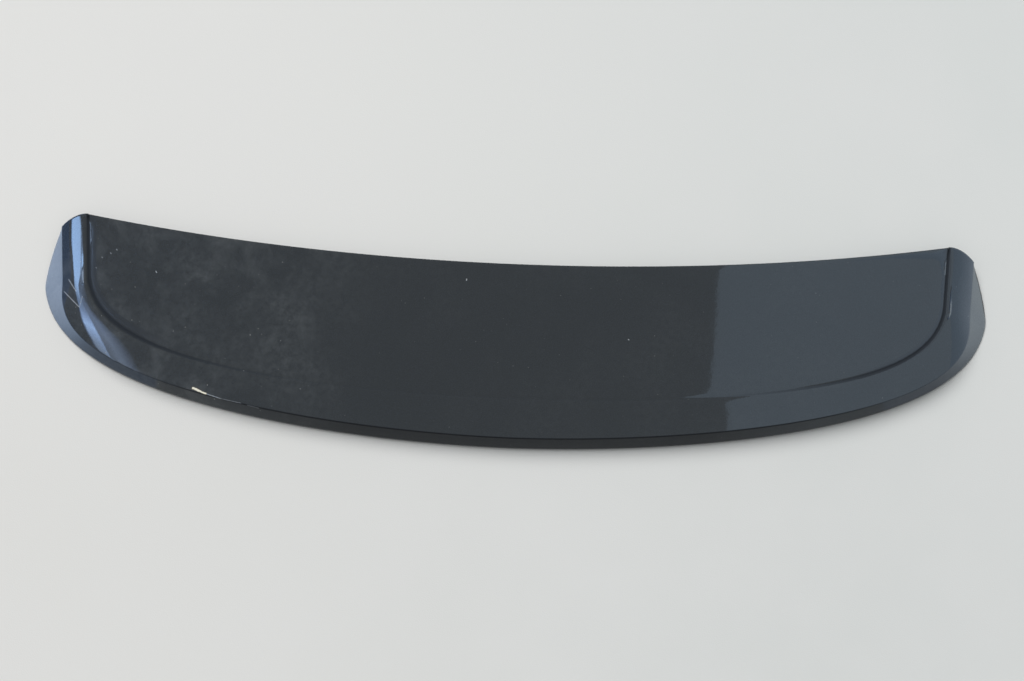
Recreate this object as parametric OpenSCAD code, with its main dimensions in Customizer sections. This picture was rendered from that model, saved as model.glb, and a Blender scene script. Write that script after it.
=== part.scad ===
// Roof spoiler for a hatchback tailgate: one hollow blow-moulded body, painted all over,
// with brass threaded inserts moulded into bosses on its underside.
// It lies top side up on its lower edge, the leading edge towards +Y.

/* [Overall size] */
// Full width across the two ends
span = 1200; // [1000:10:1400]
// Depth from the trailing edge to the tips of the leading corners
depth = 279.5; // [245:0.5:325]
// How far the middle of the leading edge lies behind the corner tips
lead_inset = 45.5; // [30:0.5:60]
// Distance of the side corners behind the corner tips
kink_back = 96; // [90:0.5:110]

/* [Top surface] */
// Height of the leading edge in the middle
lead_h = 24; // [21:0.5:30]
// How much lower the leading edge is at its corners
lead_crown = 3; // [0:0.5:5]
// Fall of the top surface towards the tail in the middle, in mm per 100 mm
top_fall = 1.5; // [0:0.1:3]
// Extra rise of the top surface at the two ends, in mm per 100 mm
end_rise = 7.5; // [4:0.5:10]
// Camber of the top surface between the leading edge and the crease
top_camber = 1.6; // [0:0.1:2.5]
// How far the flat top ends inside the full width at the leading edge
lead_in = 49.5; // [42:0.5:60]
// How far the flat top ends inside the full width at the side corners
crease_in = 60.5; // [50:0.5:72]
// Distance of the crease in front of the trailing edge, in the middle
crease_back = 59.5; // [48:0.5:74]

/* [Rim and ends] */
// Rise of the rim from the crease to the trailing edge, in the middle
lip_rise = 1.5; // [0:0.1:3]
// Fall of the rolled ends from the crease to their sharp edge
end_drop = 5.5; // [3:0.5:7]
// Outward lean of the side faces, at the side corners
side_flare = 26.5; // [16:0.5:32]
// Outward lean of the tail face, in the middle
tail_flare = 9; // [4:0.5:13]
// Length of the side face in front of the side corner
side_len = 78.5; // [60:0.5:82]
// Height of the side face's lower edge at its front end
side_lift = 10.5; // [7:0.5:12]
// Depth of the groove along the crease at the two ends
crease_depth = 1.7; // [0:0.1:2.4]
// Depth of the groove along the crease in the middle
crease_depth_mid = 0.5; // [0:0.1:1.5]
// Half width of the groove along the crease
crease_w = 3.2; // [2:0.1:4]

/* [Shell] */
// Thickness of the leading edge
lead_t = 14; // [12:0.5:18]
// Wall of the moulding
wall = 3; // [2:0.1:4]
// Width of the flat land round the underside
land_w = 16; // [10:0.5:24]
// Depth of the recess in the underside
recess = 4; // [2:0.5:5]
// Radius of the lower edge
edge_r = 2; // [1:0.5:3]

/* [Fixings] */
// Diameter of an insert's bore
insert_bore = 5; // [4.2:0.1:6.8]
// Outer diameter of an insert
insert_d = 9; // [8:0.5:11]
// Length of an insert
insert_l = 10; // [8:0.5:10.5]
// Number of inserts on each side of the middle
fix_per_side = 3; // [2:1:4]
// Distance of the innermost insert from the middle
fix_first = 80; // [50:5:140]
// Distance of the outermost insert inside the full width
fix_end_in = 140; // [125:5:200]
// Distance of the inserts behind the leading edge
fix_back = 44; // [36:1:60]
// Outer diameter of the boss that holds an insert
boss_d = 24; // [18:0.5:30]
// Number of tack-offs, where the underside is pinched up to the top skin
tack_count = 4; // [2:1:6]
// Diameter of a tack-off at the underside
tack_d = 34; // [24:1:44]
// Diameter of a tack-off at its closed end
tack_end_d = 14; // [8:1:20]
// Diameter of the drain holes
drain_d = 7; // [4:0.5:10]

/* [Hidden] */

half = span / 2;
y_front = depth / 2;
y_rear = -depth / 2;
y_kink = y_front - kink_back;
y_lead = y_front - lead_inset;
y_tip = y_kink + side_len;
lead_half = half - lead_in;
crease_half = half - crease_in;
edge_half = half - side_flare;
// How far the front end of the side lies inside the full width
tip_in = 16.5;
// Height of the side's sharp edge gained between the side corner and the leading corner
tip_lift = 1;
// Width of the foot below the sharp edge at the front end of the side
tip_foot = 0.5;
// Share of the half width of the crease at which a section starts on the leading edge
lead_share = 0.93;
// Share of the leading edge's bow that is a parabola; the rest bends near the corners only
lead_bow = 0.95;
// Distance of the side corners of the crease and of the sharp edge ahead of the lower edge's
crease_ahead = 6.5;
edge_ahead = 5;
// Ovals of the crease, the sharp edge and the lower edge: how far the oval runs on past the
// side corner, its fullness across and along, and the spacing of the stations on it
crease_oval = [107, 0.96, 0.43, 1];
edge_oval = [0, 1.1, 0.78, 1.1];
skirt_oval = [56.5, 1.07, 0.663, 1.16];
// How the rounded leading corner leaves the crease, and how it comes to the sharp edge
corner_leaves = [12, 1.6];
corner_meets = [-7, 9];
// Stations where the rim starts to roll down, the groove starts and is at its full depth,
// the leading corner starts to round, and the recess of the underside starts and ends its rise
roll_from = 0.35;
groove_from = 0.3;
groove_full = 0.9;
corner_from = 1.3;
recess_full = 0.9;
recess_out = 1.15;
fold_from = 1.5;
// Bend of the rim in the middle and at the ends, and bow of the tail face and the side faces
rim_bend = 1.3;
end_bend = 2;
tail_bow = 1.35;
side_bow = 1;

// Stations: 0 is the middle, 1 the side corner, 2 the leading corner; negative on the left
rear_steps = 36;
side_steps = 10;
half_stations = [
    for (i = [1 : rear_steps]) i / rear_steps,
    for (i = [1 : side_steps - 1]) 1 + i / side_steps,
    1.985,
    2
];
stations = [
    for (i = [len(half_stations) - 1 : -1 : 0]) -half_stations[i],
    0,
    for (s = half_stations) s
];

function mix(a, b, w) = a * (1 - w) + b * w;
function smooth(w) = let (c = min(1, max(0, w))) c * c * (3 - 2 * c);
function side_of(s) = s < 0 ? -1 : 1;

// Plan curve of one half, from the middle of the tail (s = 0) to the side corner (s = 1);
// reach: half width at the corner; tail: y in the middle; corner: y at the corner
function oval(reach, tail, corner, shape, s) =
    let (over = shape[0], across = shape[1], along = shape[2])
    let (rise = over + corner - tail)
    let (end = acos(pow(over / rise, 1 / along)))
    let (turn = end * pow(s, shape[3]))
    [
        reach * pow(sin(turn) / sin(end), across),
        corner + over - rise * pow(cos(turn), along)
    ];

// Leading edge in plan
function lead_y(x) =
    let (t = x / lead_half)
    y_lead + lead_inset * (lead_bow * t * t + (1 - lead_bow) * t * t * t * t);
function lead_z(x) = lead_h - lead_crown * (x / half) * (x / half);

// Height of the flat top
function top_z(x, y) =
    let (t = x / half)
    lead_z(x) + (end_rise * t * t * t * t - top_fall) * (lead_y(x) - y) / 100;

// The three curves that the rim and the side are hung on, for s from 0 to 2
function crease_plan(s) = s <= 1
    ? oval(crease_half, y_rear + crease_back, y_kink + crease_ahead, crease_oval, s)
    : [mix(crease_half, lead_half, s - 1), mix(y_kink + crease_ahead, lead_y(lead_half), s - 1)];
function edge_plan(s) = s <= 1
    ? oval(edge_half, y_rear + tail_flare, y_kink + edge_ahead, edge_oval, s)
    : [mix(edge_half, half - tip_in, s - 1), mix(y_kink + edge_ahead, y_tip, s - 1)];
function skirt_plan(s) = s <= 1
    ? oval(half, y_rear, y_kink, skirt_oval, s)
    : [half - (tip_in - tip_foot) * pow(s - 1, 1.7), mix(y_kink, y_tip, s - 1)];
function skirt_z(s) = s <= 1 ? 0 : side_lift * pow(s - 1, 1.5);

// Height change from the crease to the sharp edge
function rolled(s) = smooth((s - roll_from) / (1 - roll_from));
function lip(s) = mix(lip_rise, -end_drop, rolled(s)) + tip_lift * max(0, s - 1);
function crease_z(s) = let (c = crease_plan(s)) top_z(c[0], c[1]);
function edge_z(s) = crease_z(s) + lip(s);
function groove(s) =
    mix(crease_depth_mid, crease_depth, smooth((s - groove_from) / (groove_full - groove_from)));

// Leading edge point that a station starts from
function lead_x(s) = s <= 1
    ? lead_share * crease_plan(s)[0]
    : mix(lead_share * crease_half, lead_half, s - 1);

// Rounded leading corner: a curve from the crease to the sharp edge, seen from above
function bezier(a, b, c, d, w) =
    let (v = 1 - w)
    v * v * v * a + 3 * v * v * w * b + 3 * v * w * w * c + w * w * w * d;
corner_a = crease_plan(2);
corner_d = edge_plan(2);
corner_b = corner_a + corner_leaves;
corner_c = corner_d + corner_meets;
function rim_plan(s, w) =
    let (straight = mix(crease_plan(s), edge_plan(s), w))
    let (bulge = smooth((s - corner_from) / (2 - corner_from)))
    let (round_off = bezier(corner_a, corner_b, corner_c, corner_d, w) - mix(corner_a, corner_d, w))
    straight + bulge * round_off;
function rim_z(s, w) = crease_z(s) + lip(s) * pow(w, mix(rim_bend, end_bend, rolled(s)));

// Side and tail face, from the sharp edge down to the lower edge
function face_at(s, w) =
    let (e = edge_plan(s), b = skirt_plan(s))
    let (out = 1 - pow(1 - w, mix(tail_bow, side_bow, rolled(s))))
    [mix(e[0], b[0], out), mix(e[1], b[1], out), mix(edge_z(s), skirt_z(s) + edge_r, w)];

// Underside, from the lower edge (v = 0) to the lower front edge (v = 1)
function under_front(s) =
    let (x = lead_x(s))
    [x, lead_y(x) - edge_r, lead_z(x) - lead_t];
function under_start(s) =
    let (b = skirt_plan(s), f = under_front(s))
    let (away = [f[0] - b[0], f[1] - b[1]])
    let (p = b + away * (edge_r / norm(away)))
    [p[0], p[1], skirt_z(s)];
land_most = 0.14;
function under_shares(land) = [
    0, land, 1.5 * land, 0.22, 0.35, 0.45, 0.55, 0.65, 0.78, 1 - 1.5 * land, 1 - land, 1
];
function under_rows(s) =
    let (from = under_start(s), f = under_front(s))
    let (land = min(land_most, land_w / norm(f - from)))
    let (sunk = recess * (1 - smooth((s - recess_full) / (recess_out - recess_full))))
    let (turn = smooth((s - fold_from) / (2 - fold_from)))
    let (shares = under_shares(land))
    [for (i = [0 : 11])
        let (up = i < 2 || i > 9 ? 0 : sunk)
        let (p = mix(from, f, shares[i]) + [0, 0, up])
        mix(p, corner_under(i), turn)];

// Lower edge of the wall round the leading corner, point i of the underside's rows
wall_shares = [0.2, 0.35, 0.5, 0.65, 0.8, 0.9];
function corner_under(i) =
    let (from = under_start(2), f = under_front(2))
    let (low = mix(corner_d, [from[0], from[1]], max(0, 1 - i / 4)))
    let (q = i < 5 ? low : rim_plan(2, wall_shares[max(0, 10 - i)]))
    let (z = mix(from[2], f[2], i / 11))
    i == 0 ? from : i == 11 ? f : [q[0] - 0.5, q[1] - 0.5, z];

// Rounded front edge, from below upwards
function front_rows(s) =
    let (x = lead_x(s), y = lead_y(x), z = lead_z(x))
    [
        [x, y, z - lead_t + edge_r],
        [x, y, z - edge_r],
        [x, y - 0.3 * edge_r, z - 0.3 * edge_r]
    ];

// Rows of one section, from the leading edge over the top and round underneath
top_shares = [0, 0.2, 0.4, 0.6, 0.8];
groove_steps = [-2.2, -1.1, -0.5, 0, 0.5, 1.1, 2.2];
rim_shares = [0.2, 0.35, 0.5, 0.65, 0.8, 0.9, 0.97, 1];
face_shares = [0.04, 0.25, 0.5, 0.75, 1];

// Camber of the flat top at share w of the way from the leading edge to the crease
function camber(s, w) = smooth((2 - s) / 0.5) * top_camber * 4 * w * (1 - w);
function top_rows(s) =
    let (x = lead_x(s), c = crease_plan(s))
    let (l = [x, lead_y(x) - edge_r])
    [for (w = top_shares)
        let (p = mix(l, c, w))
        [p[0], p[1], top_z(p[0], p[1]) + camber(s, w)]];
function groove_rows(s) =
    let (x = lead_x(s), c = crease_plan(s), e = rim_plan(s, 0.2))
    let (l = [x, lead_y(x) - edge_r])
    let (n_in = norm(l - c), n_out = norm(e - c))
    let (width = s > 1.999 ? 0 : min(crease_w, n_in / 3))
    [for (g = groove_steps)
        let (d = g * width)
        let (p = d < 0 ? c + (l - c) * (-d / max(n_in, 0.001)) : c + (e - c) * (d / n_out))
        let (w = d < 0 ? 1 + d / max(n_in, 0.001) : 0.2 * d / n_out)
        let (z = d < 0 ? top_z(p[0], p[1]) + camber(s, w) : rim_z(s, w))
        [p[0], p[1], z - groove(s) * exp(-g * g * 1.6)]];
function rim_rows(s) = [
    for (w = rim_shares)
        let (p = rim_plan(s, w))
        [p[0], p[1], rim_z(s, w)]
];
function face_rows(s) = [for (w = face_shares) face_at(s, w)];

function section(s) = concat(
    top_rows(s), groove_rows(s), rim_rows(s), face_rows(s), under_rows(s), front_rows(s)
);
function turned(rows, side) = [for (p = rows) [side * p[0], p[1], p[2]]];

// Closed skin from the sections. At the last section on each side the top rows have run
// together at the crease, and a wall closes the rounded corner
crease_row = len(top_shares) + len(groove_steps) - 1;
edge_row = crease_row + len(rim_shares);
skirt_row = edge_row + len(face_shares);
front_row = skirt_row + 12;
row_count = front_row + 4;

function flip(face, back) = back ? [face[2], face[1], face[0]] : face;
function corner_wall(base, back) =
    let (first = base + crease_row)
    [
        for (i = [1 : skirt_row - crease_row - 1])
            each [
                flip([first + i, base + front_row - i, first + i + 1], back),
                flip([first + i + 1, base + front_row - i, base + front_row - i - 1], back)
            ],
        flip([first, base + row_count - 1, first + 1], back),
        for (k = [front_row : row_count - 2])
            flip([first + 1, base + k + 1, base + k], back),
        flip([first + 1, base + front_row, base + front_row - 1], back)
    ];

module spoiler_skin() {
    loops = [for (s = stations) turned(section(abs(s)), side_of(s))];
    last = len(loops) - 1;
    polyhedron(
        points = [for (l = loops) each l],
        faces = [
            for (j = [0 : last - 1], k = [0 : row_count - 1])
                let (n = (k + 1) % row_count)
                let (a = j == 0 && k < crease_row ? crease_row : k)
                let (an = j == 0 && n < crease_row ? crease_row : n)
                let (b = j == last - 1 && k < crease_row ? crease_row : k)
                let (bn = j == last - 1 && n < crease_row ? crease_row : n)
                each [
                    if (b != bn) [j * row_count + a, (j + 1) * row_count + b, (j + 1) * row_count + bn],
                    if (a != an) [j * row_count + a, (j + 1) * row_count + bn, j * row_count + an]
                ],
            each corner_wall(0, true),
            each corner_wall(last * row_count, false)
        ]
    );
}

// Inside of the moulding: the same sections, one wall in from the skin, and a little more
// where the skin slopes
cavity_end = 1.6;
cavity_steps = 22;
side_wall = 1.35 * wall;
face_wall = 1.1 * wall;
rim_wall = 1.05 * wall;
edge_wall = 1.15 * wall;
foot_wall = 1.25 * wall;
step_wall = 1.2 * wall;
under_wall = 1.05 * wall;
cavity_stations = [for (i = [-cavity_steps : cavity_steps]) cavity_end * i / cavity_steps];
function towards(s) =
    let (b = skirt_plan(s), x = lead_x(s))
    let (away = [x, lead_y(x)] - b)
    away / norm(away);
function skin_top(s, l, c, w) =
    let (p = mix(l, c, w))
    [p[0], p[1], top_z(p[0], p[1]) + camber(s, w) - wall];
function face_slope(s) = norm(edge_plan(s) - skirt_plan(s)) / (edge_z(s) - skirt_z(s) - edge_r);
function cavity_section(s) =
    let (x = lead_x(s), c = crease_plan(s), e = edge_plan(s), b = skirt_plan(s), u = towards(s))
    let (slope = face_slope(s))
    let (face_in = face_wall * norm([slope, 1]))
    let (foot_in = max(side_wall + 2 * edge_r, face_in + slope * (foot_wall - edge_r)))
    let (l = [x, lead_y(x)] - [0, wall])
    let (rim_in = 1 - side_wall / norm(e - c))
    let (rim_mid = rim_plan(s, 0.5), rim_end = rim_plan(s, rim_in))
    let (mid = face_at(s, 0.45), low = b + u * foot_in)
    let (under = under_rows(s), land = mix(under[0], under[1], 0.85))
    let (f = under_front(s) - [0, wall, 0])
    [
        skin_top(s, l, c, 0),
        skin_top(s, l, c, 0.3),
        skin_top(s, l, c, 0.65),
        skin_top(s, l, c, 1) - [0, 0, groove(s)],
        [rim_mid[0], rim_mid[1], rim_z(s, 0.5) - rim_wall],
        [rim_end[0], rim_end[1], rim_z(s, rim_in) - edge_wall],
        [mid[0] + u[0] * face_in, mid[1] + u[1] * face_in, mid[2]],
        [low[0], low[1], skirt_z(s) + foot_wall],
        [land[0], land[1], land[2] + foot_wall],
        under[2] + [0, 0, step_wall],
        under[3] + [0, 0, under_wall],
        under[6] + [0, 0, under_wall],
        under[9] + [0, 0, under_wall],
        f + [0, 0, under_wall]
    ];
cavity_rows = 14;

module cavity_skin() {
    loops = [for (s = cavity_stations) turned(cavity_section(abs(s)), side_of(s))];
    last = len(loops) - 1;
    half_rows = cavity_rows / 2;
    polyhedron(
        points = [for (l = loops) each l],
        faces = [
            for (j = [0 : last - 1], k = [0 : cavity_rows - 1])
                let (n = (k + 1) % cavity_rows)
                each [
                    [j * cavity_rows + k, (j + 1) * cavity_rows + k, (j + 1) * cavity_rows + n],
                    [j * cavity_rows + k, (j + 1) * cavity_rows + n, j * cavity_rows + n]
                ],
            for (end = [0, last], k = [0 : half_rows - 2])
                let (base = end * cavity_rows, back = end == 0)
                each [
                    flip([base + k, base + cavity_rows - 2 - k, base + k + 1], back),
                    if (k < half_rows - 1)
                        flip([base + k, base + cavity_rows - 1 - k, base + cavity_rows - 2 - k], back)
                ]
        ]
    );
}

// Underside at a point, from the section whose row passes over it
function station_at(x) = lookup(x, [for (s = half_stations) if (s <= 1) [0.5 * (lead_x(s) + skirt_plan(s)[0]), s]]);
function under_z(x, y) =
    let (s = station_at(x), from = under_start(s), f = under_front(s))
    mix(from[2], f[2], (y - from[1]) / (f[1] - from[1]));

// Places of the inserts, the tack-offs and the drain holes on the right-hand half
tack_share = 0.74;
tack_reach = tack_share * crease_half;
fix_pitch = (half - fix_end_in - fix_first) / (fix_per_side - 1);
fix_x = [for (i = [0 : fix_per_side - 1]) fix_first + i * fix_pitch];
fix_places = [for (x = fix_x) [x, lead_y(x) - fix_back]];
function fix_z(p) = under_z(p[0], p[1] - boss_d / 2);
tack_x = [for (i = [0.5 : tack_count / 2]) i * tack_reach / (tack_count / 2)];
tack_places = [for (x = tack_x) [x, mix(lead_y(x), y_rear, 0.5)]];
drain_stations = [0.35, 0.72];
drain_places = [for (s = drain_stations) under_rows(s)[3]];

module both_sides() {
    children();
    mirror([1, 0, 0]) children();
}

// Boss of one insert: a pad level with the land, carried up into the moulding
module boss(p) {
    translate([p[0], p[1], fix_z(p)])
        cylinder(d = boss_d, h = insert_l + wall, $fn = 48);
}

// Cone of a tack-off from the underside up to the top skin, grown by a wall
module tack(p, grow, top_gap) {
    low = under_z(p[0], p[1]) - 2;
    high = top_z(p[0], p[1]) - top_gap;
    translate([p[0], p[1], low])
        cylinder(d1 = tack_d + 2 * grow, d2 = tack_end_d + 2 * grow, h = high - low, $fn = 48);
}

module spoiler_body() color([0.16, 0.18, 0.21]) {
    difference() {
        union() {
            difference() {
                spoiler_skin();
                difference() {
                    cavity_skin();
                    both_sides() for (p = tack_places) tack(p, wall, 0.5 * wall);
                }
            }
            both_sides() for (p = fix_places) boss(p);
        }
        both_sides() for (p = fix_places)
            translate([p[0], p[1], fix_z(p) - 1])
                cylinder(d = insert_d, h = insert_l + 1, $fn = 48);
        both_sides() for (p = tack_places) tack(p, 0, 1.8 * wall);
        both_sides() for (p = drain_places)
            translate(p - [0, 0, 2 * wall]) cylinder(d = drain_d, h = 4 * wall, $fn = 32);
    }
}

// Brass insert, moulded in: two knurled bands, a waist between them and a blind bore
module insert() {
    band = insert_l / 3;
    waist = 0.7;
    chamfer = 0.5;
    closed_end = 1.5;
    rotate_extrude($fn = 48)
        polygon([
            [insert_bore / 2 + chamfer, 0],
            [insert_d / 2 - chamfer, 0],
            [insert_d / 2, chamfer],
            [insert_d / 2, band],
            [insert_d / 2 - waist, band + waist],
            [insert_d / 2 - waist, 2 * band - waist],
            [insert_d / 2, 2 * band],
            [insert_d / 2, insert_l - chamfer],
            [insert_d / 2 - chamfer, insert_l],
            [0, insert_l],
            [0, insert_l - closed_end],
            [insert_bore / 2, insert_l - closed_end],
            [insert_bore / 2, chamfer]
        ]);
}

module threaded_inserts() color([0.8, 0.65, 0.3]) {
    both_sides() for (p = fix_places)
        translate([p[0], p[1], fix_z(p)]) insert();
}

spoiler_body();
threaded_inserts();
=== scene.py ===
import math

import bmesh
import bpy
from mathutils import Matrix, Vector


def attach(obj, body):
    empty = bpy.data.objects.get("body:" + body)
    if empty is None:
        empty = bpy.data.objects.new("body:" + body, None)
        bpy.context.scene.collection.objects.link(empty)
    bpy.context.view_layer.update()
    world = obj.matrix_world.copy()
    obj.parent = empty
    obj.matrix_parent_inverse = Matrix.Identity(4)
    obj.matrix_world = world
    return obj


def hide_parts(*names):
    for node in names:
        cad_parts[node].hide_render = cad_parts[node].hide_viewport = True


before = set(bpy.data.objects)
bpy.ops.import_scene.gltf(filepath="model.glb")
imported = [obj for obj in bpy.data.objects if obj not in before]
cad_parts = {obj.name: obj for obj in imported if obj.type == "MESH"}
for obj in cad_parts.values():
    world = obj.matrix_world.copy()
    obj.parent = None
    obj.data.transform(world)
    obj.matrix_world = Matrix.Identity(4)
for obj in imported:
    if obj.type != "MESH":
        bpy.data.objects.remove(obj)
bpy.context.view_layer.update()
print("frame loaded, nodes:", sorted(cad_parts))


# small helpers for node trees

def newMaterial(name):
    material = bpy.data.materials.new(name)
    material.use_nodes = True
    material.node_tree.nodes.clear()
    return material, material.node_tree


def addNode(tree, kind, values=None, **settings):
    node = tree.nodes.new(kind)
    for key, value in settings.items():
        setattr(node, key, value)
    for key, value in (values or {}).items():
        if isinstance(value, bpy.types.NodeSocket):
            tree.links.new(value, node.inputs[key])
        else:
            node.inputs[key].default_value = value
    return node


def mathNode(tree, operation, first, second=0.0, clamp=False):
    values = {0: first, 1: second}
    return addNode(tree, "ShaderNodeMath", values, operation=operation, use_clamp=clamp).outputs[0]


def timesNode(tree, first, *others):
    for other in others:
        first = mathNode(tree, "MULTIPLY", first, other)
    return first


def mostNode(tree, first, *others):
    for other in others:
        first = mathNode(tree, "MAXIMUM", first, other)
    return first


def withoutNode(tree, value, share=1.0):
    return mathNode(tree, "SUBTRACT", 1.0, mathNode(tree, "MULTIPLY", value, share))


def vectorNode(tree, operation, first, second=(0.0, 0.0, 0.0)):
    node = addNode(tree, "ShaderNodeVectorMath", {0: first, 1: second}, operation=operation)
    return node.outputs["Value" if operation in ("DOT_PRODUCT", "DISTANCE", "LENGTH") else "Vector"]


def rangeNode(tree, value, fromLow, fromHigh, toLow=0.0, toHigh=1.0, smooth=True):
    values = {"Value": value, "From Min": fromLow, "From Max": fromHigh, "To Min": toLow, "To Max": toHigh}
    blend = "SMOOTHSTEP" if smooth else "LINEAR"
    return addNode(tree, "ShaderNodeMapRange", values, interpolation_type=blend).outputs[0]


def mixColour(tree, factor, first, second, blend="MIX"):
    values = {"Factor": factor, 6: first, 7: second}
    return addNode(tree, "ShaderNodeMix", values, data_type="RGBA", blend_type=blend).outputs[2]


def mixValue(tree, factor, first, second):
    return addNode(tree, "ShaderNodeMix", {"Factor": factor, 2: first, 3: second}).outputs[0]


def noiseNode(tree, vector, scale, detail=3.0, roughness=0.5, distortion=0.0):
    values = {"Vector": vector, "Scale": scale, "Detail": detail, "Roughness": roughness}
    return addNode(tree, "ShaderNodeTexNoise", {**values, "Distortion": distortion}).outputs["Fac"]


def raggedNode(tree, size, *noise):
    return timesNode(tree, mathNode(tree, "SUBTRACT", noiseNode(tree, *noise), 0.5), size)


def stretchNode(tree, vector, scale, turn=0.0):
    values = {"Vector": vector, "Scale": scale, "Rotation": (0.0, 0.0, turn)}
    return addNode(tree, "ShaderNodeMapping", values).outputs[0]


def bumpNode(tree, height, distance):
    values = {"Strength": 1.0, "Distance": distance, "Height": height}
    return addNode(tree, "ShaderNodeBump", values).outputs[0]


def objectPlace(tree):
    return addNode(tree, "ShaderNodeTexCoord").outputs["Object"]


def attributeNode(tree, name):
    return addNode(tree, "ShaderNodeAttribute", attribute_name=name).outputs["Fac"]


def newGroup(name, vectors, values, results):
    group = bpy.data.node_groups.new(name, "ShaderNodeTree")
    sockets = [(label, "INPUT", "NodeSocketVector") for label in vectors]
    sockets += [(label, "INPUT", "NodeSocketFloat") for label in values]
    sockets += [(label, "OUTPUT", kind) for label, kind in results.items()]
    for label, way, kind in sockets:
        group.interface.new_socket(label, in_out=way, socket_type=kind)
    return group, group.nodes.new("NodeGroupInput"), group.nodes.new("NodeGroupOutput")


def useGroup(tree, group, values):
    return addNode(tree, "ShaderNodeGroup", values, node_tree=group)


# camera, set to the angle that the spoiler was photographed from

cameraSettings = {
    "place": (-0.04254, -0.47014, 1.75767),
    "yaw": 0.076,
    "pitch": -1.309,
    "roll": 0.111,
    "lens": 50.48,
    "sensor": 36.0,
    "farthest": 50.0,
}


def addCamera():
    s = cameraSettings
    data = bpy.data.cameras.new("camera")
    data.lens = s["lens"]
    data.sensor_width = s["sensor"]
    data.clip_end = s["farthest"]
    camera = bpy.data.objects.new("camera", data)
    bpy.context.scene.collection.objects.link(camera)
    yaw, pitch, roll = s["yaw"], s["pitch"], s["roll"]
    ahead = Vector((math.sin(yaw) * math.cos(pitch), math.cos(yaw) * math.cos(pitch), math.sin(pitch)))
    level = Vector((math.cos(yaw), -math.sin(yaw), 0.0))
    upward = level.cross(ahead)
    right = level * math.cos(roll) + upward * math.sin(roll)
    top = upward * math.cos(roll) - level * math.sin(roll)
    turn = Matrix((right, top, -ahead)).transposed().to_4x4()
    camera.matrix_world = Matrix.Translation(Vector(s["place"])) @ turn
    bpy.context.scene.camera = camera


addCamera()
print("camera placed")


# the curves that the moulding hangs on, in metres, for laying marks along them

curveSettings = {
    "crease": {
        "reach": 0.5395, "tail": -0.08025, "corner": 0.05025, "over": 0.107, "across": 0.96, "along": 0.43},
    "edge": {
        "reach": 0.5735, "tail": -0.13075, "corner": 0.04875, "over": 0.0, "across": 1.1, "along": 0.78},
    "skirt": {
        "reach": 0.6, "tail": -0.13975, "corner": 0.04375, "over": 0.0565, "across": 1.07, "along": 0.663},
    "half": 0.6,
    "kink": 0.04375,
    "tip": 0.12225,
    "tipReach": 0.5835,
    "flankInset": 0.016,
    "flankBend": 1.7,
    "leadHalf": 0.5505,
    "leadMiddle": 0.09425,
    "leadInset": 0.0455,
    "leadFlatness": 0.05,
    "leadHeight": 0.024,
    "leadCrown": 0.003,
    "topFall": 0.015,
    "endRise": 0.075,
    "lipRise": 0.0015,
    "endDrop": 0.0055,
    "dropStart": 0.35,
    "tipLift": 0.001,
    "curveSteps": 120,
    "skirtSteps": 200,
    "flankSteps": 40,
    "cornerSteps": 20,
    "leadSteps": 100,
}
gapSettings = {"farthest": 1.0, "searchWidth": 0.09, "shortest": 0.0000001}


def between(first, last, share):
    return first + (last - first) * share


def steps(count):
    return [i / count for i in range(1, count + 1)]


def ovalPoint(name, s):
    c = curveSettings[name]
    rise = c["over"] + c["corner"] - c["tail"]
    end = math.acos((c["over"] / rise) ** (1.0 / c["along"]))
    turn = end * s
    return (c["reach"] * (math.sin(turn) / math.sin(end)) ** c["across"],
            c["corner"] + c["over"] - rise * math.cos(turn) ** c["along"])


def leadY(x):
    c = curveSettings
    t = x / c["leadHalf"]
    return c["leadMiddle"] + c["leadInset"] * between(t * t, t ** 4, c["leadFlatness"])


def topHeight(x, y):
    c = curveSettings
    t = x / c["half"]
    return c["leadHeight"] - c["leadCrown"] * t * t + (c["endRise"] * t ** 4 - c["topFall"]) * (leadY(x) - y)


# a curve runs from the middle of the tail, s = 0, to the end's corner, s = 1, and on to the lead, s = 2
def curvePlan(name, s, endX, endY):
    if s <= 1.0:
        return ovalPoint(name, s)
    c = curveSettings[name]
    return between(c["reach"], endX, s - 1.0), between(c["corner"], endY, s - 1.0)


def creasePoint(s):
    x, y = curvePlan("crease", s, curveSettings["leadHalf"], leadY(curveSettings["leadHalf"]))
    return Vector((x, y, topHeight(x, y)))


def edgePoint(s):
    c = curveSettings
    x, y = curvePlan("edge", s, c["tipReach"], c["tip"])
    w = min(1.0, max(0.0, (s - c["dropStart"]) / (1.0 - c["dropStart"])))
    fall = between(c["lipRise"], -c["endDrop"], w * w * (3.0 - 2.0 * w)) + c["tipLift"] * max(0.0, s - 1.0)
    return Vector((x, y, creasePoint(s).z + fall))


def outlinePoints():
    c = curveSettings
    plan = [ovalPoint("skirt", s) for s in [0.0] + steps(c["skirtSteps"])]
    for w in steps(c["flankSteps"]):
        plan.append((c["half"] - c["flankInset"] * w ** c["flankBend"], between(c["kink"], c["tip"], w)))
    cornerRise = leadY(c["leadHalf"]) - c["tip"]
    for w in steps(c["cornerSteps"]):
        y = c["tip"] + cornerRise * math.sin(w * math.pi / 2.0)
        plan.append((between(c["tipReach"], c["leadHalf"], w), y))
    for w in steps(c["leadSteps"]):
        x = c["leadHalf"] * (1.0 - w)
        plan.append((x, leadY(x)))
    return [Vector((x, y, 0.0)) for x, y in plan]


def bothSides(points):
    return [Vector((-p.x, p.y, p.z)) for p in reversed(points)] + list(points)


def gapTo(point, line, flat=True, signed=False):
    best, inward = gapSettings["farthest"], False
    for start, end in zip(line[:-1], line[1:]):
        if abs(start.x - point.x) > gapSettings["searchWidth"]:
            continue
        p, q, r = (Vector((v.x, v.y, 0.0 if flat else v.z)) for v in (point, start, end))
        along = r - q
        share = 0.0
        if along.length > gapSettings["shortest"]:
            share = min(1.0, max(0.0, (p - q).dot(along) / along.length_squared))
        gap = (p - q - along * share).length
        if gap < best:
            best, inward = gap, along.cross(p - q).z > 0.0
    return -best if signed and inward else best


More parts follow.
